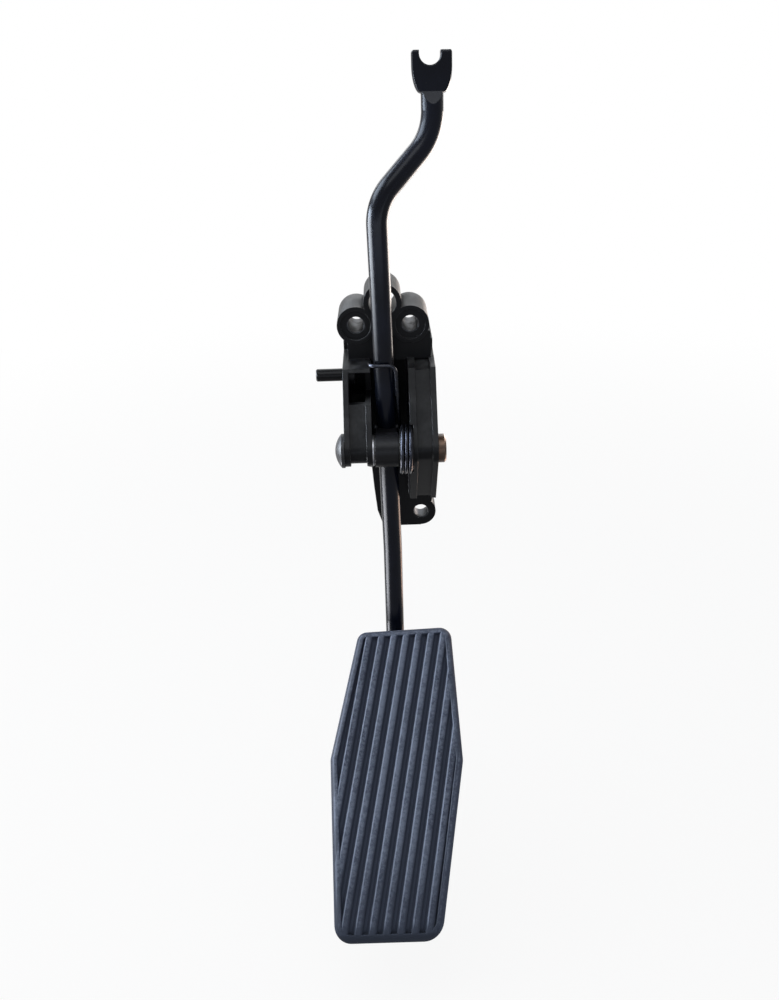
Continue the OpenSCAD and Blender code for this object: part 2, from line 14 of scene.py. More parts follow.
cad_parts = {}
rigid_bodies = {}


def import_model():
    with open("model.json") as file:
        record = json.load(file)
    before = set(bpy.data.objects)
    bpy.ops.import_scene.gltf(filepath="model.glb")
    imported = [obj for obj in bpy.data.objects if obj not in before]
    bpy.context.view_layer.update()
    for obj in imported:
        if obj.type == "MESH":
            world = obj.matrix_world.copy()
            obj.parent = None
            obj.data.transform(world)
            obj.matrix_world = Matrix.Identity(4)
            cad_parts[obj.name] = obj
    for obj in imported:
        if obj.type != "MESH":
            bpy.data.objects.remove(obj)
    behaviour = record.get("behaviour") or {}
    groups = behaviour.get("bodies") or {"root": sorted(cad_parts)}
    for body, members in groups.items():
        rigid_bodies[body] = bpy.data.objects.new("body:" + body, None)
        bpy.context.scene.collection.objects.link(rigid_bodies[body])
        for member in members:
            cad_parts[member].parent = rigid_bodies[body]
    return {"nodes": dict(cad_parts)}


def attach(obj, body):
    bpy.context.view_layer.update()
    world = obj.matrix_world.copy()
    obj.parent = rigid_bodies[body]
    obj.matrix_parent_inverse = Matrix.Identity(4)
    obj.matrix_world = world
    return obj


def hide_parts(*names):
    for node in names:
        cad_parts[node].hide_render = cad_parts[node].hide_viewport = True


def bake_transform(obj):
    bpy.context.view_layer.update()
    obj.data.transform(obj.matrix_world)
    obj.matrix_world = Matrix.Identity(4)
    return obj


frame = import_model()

log = logging.getLogger("pedal")
Object = bpy.types.Object
Colour = Tuple[float, float, float]
Point = Tuple[float, float, float]

MM = 0.001
WHITE: Colour = (1.0, 1.0, 1.0)
COOL_WHITE: Colour = (0.95, 0.975, 1.0)
PAPER: Colour = (0.86, 0.86, 0.86)

# The tread's middle in millimetres, its lean in degrees, and its slanted grooves.
PAD_CENTRE: Point = (0.0, -97.3, -163.7)
PAD_TILT = 35.5
GROOVE_PITCH = 5.4
GROOVE_DEPTH = 2.2
GROOVE_SLANT = 11.0
GROOVE_STEP = GROOVE_PITCH * math.cos(math.radians(GROOVE_SLANT))


class Body(Enum):
    """The two bodies that the pivot joins."""

    BRACKET = "bracket_body"
    LEVER = "pedal_body"


class Slot(Enum):
    """The record's material slots."""

    PAINT = "black_paint"
    SPRING = "spring_steel"
    TREAD = "pad_rubber"


# Node trees


class Sock:
    """A socket of a node tree that takes part in plain expressions."""

    def __init__(self, graph: "Graph", socket: bpy.types.NodeSocket) -> None:
        """Keeps the socket and the graph that new nodes go into."""
        self.graph = graph
        self.socket = socket

    def _join(self, word: str, *parts: "Term") -> "Sock":
        """Adds the node for an operation on this socket's kind.

        Args:
            word: A Math, Vector Math or blend operation.
            parts: The operands in order.

        Returns:
            The result's socket.
        """
        if self.socket.type == "RGBA":
            return self.graph.node("ShaderNodeMix", {"data_type": "RGBA", "blend_type": word},
                                   {0: 1.0, 6: parts[0], 7: parts[1]}, 2)
        number = self.socket.type in ("VALUE", "INT")
        kind = "ShaderNodeMath" if number else "ShaderNodeVectorMath"
        return self.graph.node(kind, {"operation": word}, dict(enumerate(parts)))

    def __add__(self, other: "Term") -> "Sock":
        """This plus other."""
        return self._join("ADD", self, other)

    def __radd__(self, other: "Term") -> "Sock":
        """Other plus this."""
        return self._join("ADD", other, self)

    def __sub__(self, other: "Term") -> "Sock":
        """This less other."""
        return self._join("SUBTRACT", self, other)

    def __rsub__(self, other: "Term") -> "Sock":
        """Other less this."""
        return self._join("SUBTRACT", other, self)

    def __mul__(self, other: "Term") -> "Sock":
        """This times other."""
        return self._join("MULTIPLY", self, other)

    def __rmul__(self, other: "Term") -> "Sock":
        """Other times this."""
        return self._join("MULTIPLY", other, self)

    def __truediv__(self, other: "Term") -> "Sock":
        """This over other."""
        return self._join("DIVIDE", self, other)

    def __rtruediv__(self, other: "Term") -> "Sock":
        """Other over this."""
        return self._join("DIVIDE", other, self)

    def __neg__(self) -> "Sock":
        """This with its sign turned."""
        return self * -1.0

    def __abs__(self) -> "Sock":
        """The size of this."""
        return self._join("ABSOLUTE", self)

    def ramp(self, low: float, high: float) -> "Sock":
        """A mask that rises smoothly from 0 where this is low to 1 where it is high.

        Args:
            low: Where the step begins, on either side of high.
            high: Where the step ends.

        Returns:
            The mask.
        """
        return self.graph.node("ShaderNodeMapRange", {"interpolation_type": "SMOOTHSTEP"},
                               {0: self, 1: low, 2: high})

    def dot(self, axis: "Term") -> "Sock":
        """How far this vector reaches along an axis."""
        return self.graph.node("ShaderNodeVectorMath", {"operation": "DOT_PRODUCT"},
                               {0: self, 1: axis}, "Value")

    def part(self, axis: int) -> "Sock":
        """One of this vector's three parts."""
        return self.graph.node("ShaderNodeSeparateXYZ", {}, {0: self}, axis)

    def between(self, a: "Term", b: "Term") -> "Sock":
        """The colour that lies this far from a to b."""
        return self.graph.node("ShaderNodeMix", {"data_type": "RGBA"}, {0: self, 6: a, 7: b}, 2)


Term = Union[Sock, float, Sequence[float]]


class Graph:
    """A node tree, with one method that adds any node."""

    def __init__(self, tree: bpy.types.NodeTree) -> None:
        """Empties the tree."""
        self.tree = tree
        tree.nodes.clear()

    def raw(self, kind: str, settings: Optional[Dict] = None,
            inputs: Optional[Dict] = None) -> bpy.types.Node:
        """Adds a node, its settings first and then its sockets.

        Args:
            kind: The node's type.
            settings: Its settings by name.
            inputs: Values or sockets by name or place.

        Returns:
            The node.
        """
        node = self.tree.nodes.new(kind)
        for name, value in (settings or {}).items():
            setattr(node, name, value)
        for key, value in (inputs or {}).items():
            socket = node.inputs[key]
            if isinstance(value, Sock):
                self.tree.links.new(value.socket, socket)
            else:
                socket.default_value = (*value, 1.0) if socket.type == "RGBA" else value
        return node

    def node(self, kind: str, settings: Optional[Dict] = None, inputs: Optional[Dict] = None,
             out: Union[int, str] = 0) -> Sock:
        """Adds a node and gives one of its outputs, by name or place."""
        return Sock(self, self.raw(kind, settings, inputs).outputs[out])

    def place(self, stretch: Point = (1, 1, 1), turn: Point = (0, 0, 0)) -> Sock:
        """Object coordinates in millimetres, stretched and turned."""
        at = self.node("ShaderNodeTexCoord", out="Object")
        scale = tuple(s / MM for s in stretch)
        return self.node("ShaderNodeMapping", {}, {"Vector": at, "Rotation": turn, "Scale": scale})

    def facing(self) -> Sock:
        """The surface's own normal."""
        return self.node("ShaderNodeNewGeometry", out="Normal")

    def noise(self, at: Sock, scale: float, detail: float = 3.0, rough: float = 0.5) -> Sock:
        """Soft noise, about scale lumps a millimetre."""
        return self.node("ShaderNodeTexNoise", {}, {
            "Vector": at, "Scale": scale, "Detail": detail, "Roughness": rough})

    def edge(self, radius: float) -> Tuple[Sock, Sock]:
        """A normal rounded over edges, and how far it turns away there.

        Args:
            radius: The rounding, in millimetres.

        Returns:
            The rounded normal, and a mask that is 1 on sharp edges.
        """
        soft = self.node("ShaderNodeBevel", {"samples": 6}, {"Radius": radius * MM})
        return soft, (1.0 - soft.dot(self.facing())).ramp(0.01, 0.25)

    def bump(self, height: Sock, depth: float, normal: Sock, strength: float) -> Sock:
        """A Bump node over height, depth millimetres deep, on top of a normal."""
        return self.node("ShaderNodeBump", {}, {
            "Height": height, "Distance": depth * MM, "Strength": strength, "Normal": normal})

    def surface(self, **inputs: Term) -> None:
        """Ends the tree in a Principled shader with these inputs, underscores for spaces."""
        named = {key.replace("_", " "): value for key, value in inputs.items()}
        shader = self.node("ShaderNodeBsdfPrincipled", {}, named)
        self.raw("ShaderNodeOutputMaterial", {}, {"Surface": shader})


def toned(colour: Colour, times: float, plus: float = 0.0) -> Colour:
    """A colour made lighter or darker, and never more than white."""
    return tuple(min(1.0, times * c + plus) for c in colour)


@dataclass(frozen=True)
class Finish:
    """What all finishes share: a name, and a colour in linear light."""

    name: str
    colour: Colour

    def material(self) -> bpy.types.Material:
        """The finished material, made once."""
        found = bpy.data.materials.get(self.name)
        if found is None:
            found = bpy.data.materials.new(self.name)
            found.use_nodes = True
            self.draw(Graph(found.node_tree))
            found.diffuse_color = (*self.colour, 1.0)
        return found

    def draw(self, g: Graph) -> None:
        """Fills the material's tree."""
        raise NotImplementedError


@dataclass(frozen=True)
class Moulded(Finish):
    """Glass-filled black plastic: spark grain, flow marks, edges paler from scuffing and a painted edge
    highlight, and a little dust on top.
    """

    gloss: float = 0.065
    rough: float = 0.4
    settling: Colour = (0.058, 0.0585, 0.06)
    dust: float = 0.8
    grain: float = 0.02
    edge_mm: float = 0.4

    def draw(self, g: Graph) -> None:
        """Fills the material's tree."""
        at = g.place()
        soft, rim = g.edge(self.edge_mm)
        grain = g.noise(at, 2.4, 4.0, 0.6)
        cloud = g.noise(at, 0.09, 3.0, 0.55)
        flow = g.noise(g.place((0.5, 0.5, 3.0), (0.3, 0.1, 0.0)), 0.22, 2.0)
        settled = g.facing().part(2).ramp(0.2, 0.95) * cloud.ramp(0.35, 0.68) * self.dust
        # Edges paler: partly scuffed, partly a painted highlight where the edges catch the light
        scuff_and_edge_highlight = rim * g.noise(at, 0.5, 3.0).ramp(0.3, 0.55)
        colour = (scuff_and_edge_highlight * 0.8).between(self.colour, toned(self.colour, 5.0, 0.045))
        colour = settled.between(colour, self.settling)
        rough = self.rough + 0.14 * (cloud - 0.5) + 0.08 * (flow - 0.5) + 0.25 * settled - 0.16 * rim
        g.surface(Base_Color=colour, Roughness=rough, Specular_IOR_Level=self.gloss,
                  Normal=g.bump(grain, self.grain, soft, 0.6))


@dataclass(frozen=True)
class Painted(Finish):
    """Dipped black paint on steel: a smooth gloss, faintly uneven, with specks and small chips."""

    gloss: float = 0.085
    rough: float = 0.27
    peel: float = 0.02
    chips: float = 0.5
    primer: Colour = (0.2, 0.195, 0.19)
    edge_mm: float = 0.3

    def draw(self, g: Graph) -> None:
        """Fills the material's tree."""
        at = g.place()
        soft, rim = g.edge(self.edge_mm)
        peel = g.noise(at, 0.4, 2.0, 0.45)
        cloud = g.noise(at, 0.05, 3.0)
        speck = g.node("ShaderNodeTexVoronoi", {}, {"Vector": at, "Scale": 0.9}, "Distance")
        chip = speck.ramp(0.1, 0.05) * g.noise(at, 0.16, 2.0).ramp(0.62, 0.68) * self.chips
        worn = rim * g.noise(at, 0.8, 3.0).ramp(0.5, 0.66) * self.chips
        colour = cloud.ramp(0.35, 0.7).between(self.colour, toned(self.colour, 1.7))
        colour = (chip * 0.5 + worn * 0.3).between(colour, self.primer)
        rough = self.rough + 0.08 * (cloud - 0.5) + 0.2 * chip + 0.04 * (peel - 0.5)
        g.surface(Base_Color=colour, Roughness=rough, Specular_IOR_Level=self.gloss,
                  Normal=g.bump(peel, self.peel, soft, 0.5))


@dataclass(frozen=True)
class Steel(Finish):
    """Bare or plated steel with turning or rolling lines along one axis."""

    rough: float = 0.34
    lines: Point = (1, 1, 1)
    stain: Colour = (0.02, 0.018, 0.016)
    stained: float = 0.35
    edge_tint: float = 1.0
    edge_mm: float = 0.2

    def draw(self, g: Graph) -> None:
        """Fills the material's tree."""
        at = g.place()
        soft, rim = g.edge(self.edge_mm)
        rolled = g.noise(g.place(self.lines), 1.6, 3.0, 0.6)
        blotch = g.noise(at, 0.28, 4.0, 0.6)
        spots = g.noise(at, 1.1, 4.0, 0.65)
        tarnish = blotch.ramp(0.45, 0.7) * self.stained
        dark = tarnish + spots.ramp(0.58, 0.7) * 0.5 * self.stained
        metal = rolled.ramp(0.3, 0.7).between(self.colour, toned(self.colour, 1.5))
        colour = dark.between(metal, self.stain)
        rough = self.rough + 0.18 * (rolled - 0.5) + 0.25 * dark - 0.06 * rim
        g.surface(Base_Color=colour, Metallic=1.0 - 0.3 * dark, Roughness=rough,
                  Specular_Tint=(self.edge_tint,) * 3, Normal=g.bump(rolled, 0.02, soft, 0.7))


@dataclass(frozen=True)
class Rubber(Finish):
    """Moulded rubber: a dull skin, paler on the ribs' edges from rubbing and a painted highlight, with
    painted shade down in the grooves.
    """

    rough: float = 0.72
    gloss: float = 0.06
    pale: Colour = (0.148, 0.175, 0.24)
    deep: Colour = (0.041, 0.05, 0.074)
    low: float = -GROOVE_DEPTH
    tilt: float = 0.0
    centre: Point = (0, 0, 0)
    pitch: float = 10000.0
    slant: float = 0.0
    groove_end: float = 57.0
    edge_mm: float = 0.35

    def draw(self, g: Graph) -> None:
        """Fills the material's tree."""
        at, normal = g.place(), g.facing()
        soft, rim = g.edge(self.edge_mm)
        lean, turn = math.radians(self.tilt), math.radians(self.slant)
        face = (0.0, -math.sin(lean), math.cos(lean))
        length = (0.0, math.cos(lean), math.sin(lean))
        height, along = (
            at.dot(axis) - sum(a * c for a, c in zip(axis, self.centre)) for axis in (face, length))
        turned, slope, across = normal.dot(face), normal.part(0), at.part(0)
        cloud = g.noise(at, 0.06, 3.0, 0.6)
        mottle = g.noise(at, 0.75, 5.0, 0.68)
        grain = g.noise(at, 3.2, 3.0, 0.6)

        # Ribs: worn where the sole treads, with a painted highlight on their left lips
        end = self.groove_end
        trodden = abs(across - 1.0).ramp(20.0, 5.0) * along.ramp(-60.0, 10.0)
        top = height.ramp(-1.0, -0.1) * turned.ramp(0.55, 0.98)
        worn = top * (0.5 * cloud.ramp(0.4, 0.6) + 0.4 * trodden + 0.6 * mottle.ramp(0.4, 0.62) - 0.1)
        # Painted highlight: left-facing lips near the top are mixed towards a paler tone, as if lit from
        # the left
        lip = (-slope).ramp(0.3, 0.6) * height.ramp(-1.0, -0.35)
        base = worn.between(self.colour, self.pale)
        base = (lip * (0.3 + mottle)).between(base, toned(self.pale, 1.8))
        # Edges paler: partly rubbed, partly a painted highlight
        base = (rim * (0.3 + mottle) * 0.3).between(base, toned(self.pale, 1.3))

        # Shade: the lower end, the skirt, and each rib's right half, which falls off to its groove
        sunk = (height.ramp(-0.4, self.low + 0.4) * height.ramp(self.low - 0.9, self.low - 0.5)
                * along.ramp(-end - 1.2, -end))
        row = (across * math.cos(turn) - along * math.sin(turn)) / self.pitch + 0.5
        phase = g.node("ShaderNodeMath", {"operation": "FRACT"}, {0: row})
        fall = (phase.ramp(0.32, 0.8) * height.ramp(-1.6, -0.4)
                * along.ramp(-end, -end + 1.5) * along.ramp(end + 2.0, end))
        shade = (along.ramp(-15.0, -50.0) * 0.42 + along.ramp(-54.0, -60.0) * 0.6
                 + height.ramp(-0.6, -2.4) * (1.0 - sunk) * 0.5 + fall * 0.55)
        skirt = (-slope).ramp(0.1, 0.8) * height.ramp(-0.3, -1.4) * (1.0 - sunk) * 0.5
        base = shade.between(base, self.deep)
        base = (skirt + along.ramp(-55.0, -60.5) * 0.7).between(base, toned(self.deep, 0.5))

        # Grooves: painted shade, darkest a little right of the middle
        floor = phase.ramp(0.1, 0.24).between(self.deep, toned(self.deep, 1.5))
        colour = (sunk * 0.78).between(base, floor)
        rough = self.rough + 0.14 * (mottle - 0.5) - 0.08 * worn + 0.08 * sunk
        g.surface(Base_Color=colour, Roughness=rough, Specular_IOR_Level=self.gloss,
                  Normal=g.bump(grain + mottle, 0.04, soft, 0.5))


@dataclass(frozen=True)
class Finishes:
    """Every finish of the pedal."""

    moulding: Finish = Moulded("bracket_moulding", (0.0034, 0.0036, 0.0046))
    peg: Finish = Moulded("peg_moulding", (0.003, 0.003, 0.0038), rough=0.3, dust=0.1)
    drum: Finish = Moulded("drum_moulding", (0.0034, 0.0034, 0.0044), rough=0.38, dust=0.1)
    cap: Finish = Moulded("cap_moulding", (0.009, 0.009, 0.011), gloss=0.16, dust=0.2, grain=0.008)
    bush: Finish = Moulded(
        "bush_nylon", (0.05, 0.048, 0.045), gloss=0.3, rough=0.45, dust=0.0, edge_mm=0.15)
    rod: Finish = Painted("lever_paint", (0.0026, 0.0036, 0.0078), rough=0.24)
    hub: Finish = Painted("hub_paint", (0.0055, 0.0056, 0.0068), rough=0.38, chips=0.3)
    plate: Finish = Painted("foot_plate_paint", (0.008, 0.0085, 0.011), rough=0.35, chips=0.7)
    weld: Finish = Painted("weld_paint", (0.006, 0.0066, 0.009), rough=0.35, chips=0.8, peel=0.08)
    sleeve: Finish = Steel(
        "sleeve_zinc", (0.036, 0.037, 0.04), rough=0.4, lines=(0.3, 3.0, 0.3), stained=0.8,
        edge_tint=0.6)
    shaft: Finish = Steel(
        "pin_steel", (0.034, 0.022, 0.016), rough=0.36, lines=(0.2, 2.5, 2.5), stained=0.6)
    washer: Finish = Steel(
        "washer_steel", (0.16, 0.16, 0.17), rough=0.3, lines=(0.2, 2.0, 2.0), stained=0.3)
    spring: Finish = Steel(
        "spring_wire_steel", (0.013, 0.014, 0.018), rough=0.27, stained=0.25, edge_mm=0.05)
    tread: Finish = Rubber(
        "tread_rubber", (0.05, 0.06, 0.09), tilt=PAD_TILT, centre=PAD_CENTRE, pitch=GROOVE_STEP,
        slant=GROOVE_SLANT)
    buffer: Finish = Rubber(
        "buffer_rubber", (0.012, 0.012, 0.014), pale=(0.03, 0.03, 0.034), deep=(0.01, 0.01, 0.012),
        low=-400.0, edge_mm=0.5)


# Shapes


def unit(v: Sequence[float]) -> np.ndarray:
    """A vector's direction."""
    v = np.asarray(v, float)
    return v / np.linalg.norm(v)


def stand(name: str, data: bpy.types.ID) -> Object:
    """An object for a mesh, lamp or camera, at the origin and linked to the scene."""
    found = bpy.data.objects.new(name, data)
    bpy.context.scene.collection.objects.link(found)
    return found


def piece(name: str, verts: Sequence, faces: Sequence, finish: Finish) -> Object:
    """A mesh object from points in millimetres.

    Args:
        name: The piece's name.
        verts: Points in the part's frame, in millimetres.
        faces: Corner indices of each face.
        finish: Its finish.

    Returns:
        The object.
    """
    mesh = bpy.data.meshes.new(name)
    mesh.from_pydata([tuple(float(c) * MM for c in v) for v in verts], [], [list(f) for f in faces])
    mesh.validate()
    mesh.materials.append(finish.material())
    return stand(name, mesh)


def set_out(outline: np.ndarray, at: Sequence[float], x: np.ndarray, y: np.ndarray) -> np.ndarray:
    """A flat outline set out in space round a point, along two axes."""
    return np.asarray(at) + outline[:, :1] * x + outline[:, 1:] * y


def closed_rings(rings: Sequence[np.ndarray]) -> Tuple[np.ndarray, List[Tuple[int, ...]]]:
    """Joins rings of equal length into a closed skin with a flat face at each end.

    Args:
        rings: Points of each ring, counter-clockwise seen from the last ring.

    Returns:
        The points and the faces, which point outwards.
    """
    n = len(rings[0])
    faces = [tuple(range(n - 1, -1, -1))]
    for k in range(len(rings) - 1):
        for i in range(n):
            j = (i + 1) % n
            faces.append((k * n + i, k * n + j, (k + 1) * n + j, (k + 1) * n + i))
    faces.append(tuple(range((len(rings) - 1) * n, len(rings) * n)))
    return np.vstack(rings), faces


def smooth(target: Object, angle: float) -> None:
    """Smooth shading with sharp edges kept above an angle in degrees."""
    mesh = target.data
    mesh.polygons.foreach_set("use_smooth", [True] * len(mesh.polygons))
    mesh.set_sharp_from_angle(angle=math.radians(angle))
    mesh.update()


def settle(target: Object) -> Object:
    """Turns an object's modifiers into its plain mesh and takes them off."""
    view = bpy.context.evaluated_depsgraph_get()
    view.update()
    made = bpy.data.meshes.new_from_object(target.evaluated_get(view))
    old = target.data
    target.modifiers.clear()
    target.data = made
    bpy.data.meshes.remove(old)
    made.name = target.name
    return target


def combine(target: Object, tools: Sequence[Object], operation: str) -> None:
    """Works closed tools on a closed object, and removes the tools.

    Args:
        target: The object that is worked on.
        tools: The tools, in order.
        operation: DIFFERENCE to cut them out, INTERSECT to keep what lies inside.
    """
    for tool in tools:
        cut = target.modifiers.new("cut", "BOOLEAN")
        cut.operation = operation
        cut.solver = "EXACT"
        cut.object = tool
    settle(target)
    for tool in tools:
        bpy.data.objects.remove(tool)


def weigh(target: Object) -> None:
    """Lets the large flat faces lead the shading beside small rounded ones."""
    lead = target.modifiers.new("lead", "WEIGHTED_NORMAL")
    lead.keep_sharp = True
    lead.weight = 90
    settle(target)


def filleted(points: Sequence[Point], bends: Sequence[float], step: float, turn: float) -> np.ndarray:
    """A line through points with each corner bent to its own radius.

    Args:
        points: The corners, in millimetres.
        bends: The radius at each corner, 0 at the two ends.
        step: The longest straight piece.
        turn: Degrees from point to point in the bends.

    Returns:
        The points of the line.
    """
    pts = [np.asarray(p, float) for p in points]
    line: List[np.ndarray] = [pts[0]]

    def straight(to: np.ndarray) -> None:
        """Goes straight to a point in even steps."""
        start = line[-1]
        count = max(1, math.ceil(np.linalg.norm(to - start) / step))
        line.extend(start + (to - start) * k / count for k in range(1, count + 1))

    for i in range(1, len(pts) - 1):
        a, b = unit(pts[i] - pts[i - 1]), unit(pts[i + 1] - pts[i])
        angle = math.acos(float(np.clip(a @ b, -1, 1)))
        reach = bends[i] * math.tan(angle / 2)
        out = unit(b - a * (a @ b))
        centre = pts[i] - a * reach + out * bends[i]
        straight(pts[i] - a * reach)
        count = max(2, math.ceil(math.degrees(angle) / turn))
        for k in range(1, count + 1):
            t = angle * k / count
            line.append(centre - out * bends[i] * math.cos(t) + a * bends[i] * math.sin(t))
    straight(pts[-1])
    return np.array(line)


def carried(line: np.ndarray,
            across: Sequence[float]) -> List[Tuple[np.ndarray, np.ndarray, np.ndarray]]:
    """Frames carried along a line without twist.

    Args:
        line: Its points.
        across: Roughly the first axis at its first point.

    Returns:
        For each point its first axis, second axis and tangent.
    """
    steps = np.diff(line, axis=0)
    steps /= np.linalg.norm(steps, axis=1)[:, None]
    tangents = [steps[0], *(unit(a + b) for a, b in zip(steps, steps[1:])), steps[-1]]
    x = unit(np.asarray(across, float) - tangents[0] * float(np.dot(across, tangents[0])))
    frames = []
    for t in tangents:
        x = unit(x - t * float(x @ t))
        frames.append((x, np.cross(t, x), t))
    return frames


class Motif(Graph):
    """A geometry node tree with named inputs, worked on one object and settled into a plain mesh."""

    def __init__(self, name: str, inputs: Dict[str, str]) -> None:
        """Starts a tree.

        Args:
            name: The tree's name.
            inputs: The kind of each named input. A material is always among them.
        """
        super().__init__(bpy.data.node_groups.new(name, "GeometryNodeTree"))
        face = self.tree.interface
        face.new_socket("Geometry", in_out="INPUT", socket_type="NodeSocketGeometry")
        self.ids = {
            label: face.new_socket(label, in_out="INPUT", socket_type=f"NodeSocket{kind}").identifier
            for label, kind in {**inputs, "Material": "Material"}.items()}
        face.new_socket("Geometry", in_out="OUTPUT", socket_type="NodeSocketGeometry")
        self.given = {out.name: Sock(self, out) for out in self.raw("NodeGroupInput").outputs}

    def end(self, geometry: Sock) -> None:
        """Realizes the instances, sets the material and closes the tree."""
        real = self.node("GeometryNodeRealizeInstances", {}, {0: geometry})
        dressed = self.node("GeometryNodeSetMaterial", {}, {
            0: real, "Material": self.given["Material"]})
        self.raw("NodeGroupOutput", {}, {0: dressed})

    def work(self, target: Object, finish: Finish, **values: float) -> Object:
        """Runs the tree on an object with a finish and these values, and settles it."""
        run = target.modifiers.new("motif", "NODES")
        run.node_group = self.tree
        for label, value in {**values, "Material": finish.material()}.items():
            run[self.ids[label]] = value
        return settle(target)


def wire_motif() -> Motif:
    """A round wire along the object's own line, with closed ends."""
    m = Motif("wire_along_line", {"Radius": "Float", "Sides": "Int"})
    line = m.node("GeometryNodeMeshToCurve", {}, {"Mesh": m.given["Geometry"]})
    ring = m.node("GeometryNodeCurvePrimitiveCircle", {}, {
        "Resolution": m.given["Sides"], "Radius": m.given["Radius"]})
    tube = m.node("GeometryNodeCurveToMesh", {}, {
        "Curve": line, "Profile Curve": ring, "Fill Caps": True})
    m.end(m.node("GeometryNodeSetShadeSmooth", {}, {0: tube}))
    return m


def ripple_motif() -> Motif:
    """Overlapping ripples of a weld bead along the object's own line."""
    m = Motif("ripples_along_line", {
        "Pitch": "Float", "Width": "Float", "Height": "Float", "Seed": "Int"})
    line = m.node("GeometryNodeMeshToCurve", {}, {"Mesh": m.given["Geometry"]})
    spread = m.raw("GeometryNodeCurveToPoints", {"mode": "LENGTH"}, {
        "Curve": line, "Length": m.given["Pitch"]}).outputs
    drop = m.node("GeometryNodeMeshUVSphere", {}, {"Segments": 12, "Rings": 8, "Radius": 1.0}, "Mesh")
    size = m.node("ShaderNodeCombineXYZ", {}, {
        0: m.given["Height"], 1: m.given["Width"], 2: m.given["Pitch"]})
    vary = m.node("FunctionNodeRandomValue", {"data_type": "FLOAT"}, {
        2: 0.88, 3: 1.12, "Seed": m.given["Seed"]}, 1)
    scaled = m.node("ShaderNodeVectorMath", {"operation": "SCALE"}, {0: size, "Scale": vary})
    beads = m.node("GeometryNodeInstanceOnPoints", {}, {
        "Points": Sock(m, spread["Points"]), "Instance": drop,
        "Rotation": Sock(m, spread["Rotation"]), "Scale": scaled})
    m.end(m.node("GeometryNodeSetShadeSmooth", {}, {0: beads}))
    return m


def row_motif() -> Motif:
    """Copies of the object in a row along X, centred on it."""
    m = Motif("row_of_cutters", {"Count": "Int", "Pitch": "Float"})
    first = (m.given["Count"] - 1.0) * -0.5 * m.given["Pitch"]
    begin = m.node("ShaderNodeCombineXYZ", {}, {0: first})
    step = m.node("ShaderNodeCombineXYZ", {}, {0: m.given["Pitch"]})
    row = m.node("GeometryNodeMeshLine", {}, {
        "Count": m.given["Count"], "Start Location": begin, "Offset": step})
    m.end(m.node("GeometryNodeInstanceOnPoints", {}, {
        "Points": row, "Instance": m.given["Geometry"]}))
    return m


def line_object(name: str, line: Sequence) -> Object:
    """An object whose mesh is an open line through points in millimetres."""
    mesh = bpy.data.meshes.new(name)
    points = [tuple(float(c) * MM for c in p) for p in line]
    mesh.from_pydata(points, [(i, i + 1) for i in range(len(points) - 1)], [])
    return stand(name, mesh)


# Sub-assemblies


@dataclass
class PadFrame:
    """The tread's own frame: x across, y up the pad, z out of the tread."""

    centre: Point = PAD_CENTRE
    tilt: float = PAD_TILT

    def out(self, points: Sequence) -> np.ndarray:
        """Points of the pad's frame in the part's frame."""
        x, y, z = np.asarray(points, float).reshape(-1, 3).T
        c, s = math.cos(math.radians(self.tilt)), math.sin(math.radians(self.tilt))
        return np.array(self.centre) + np.stack([x, y * c - z * s, y * s + z * c], 1)


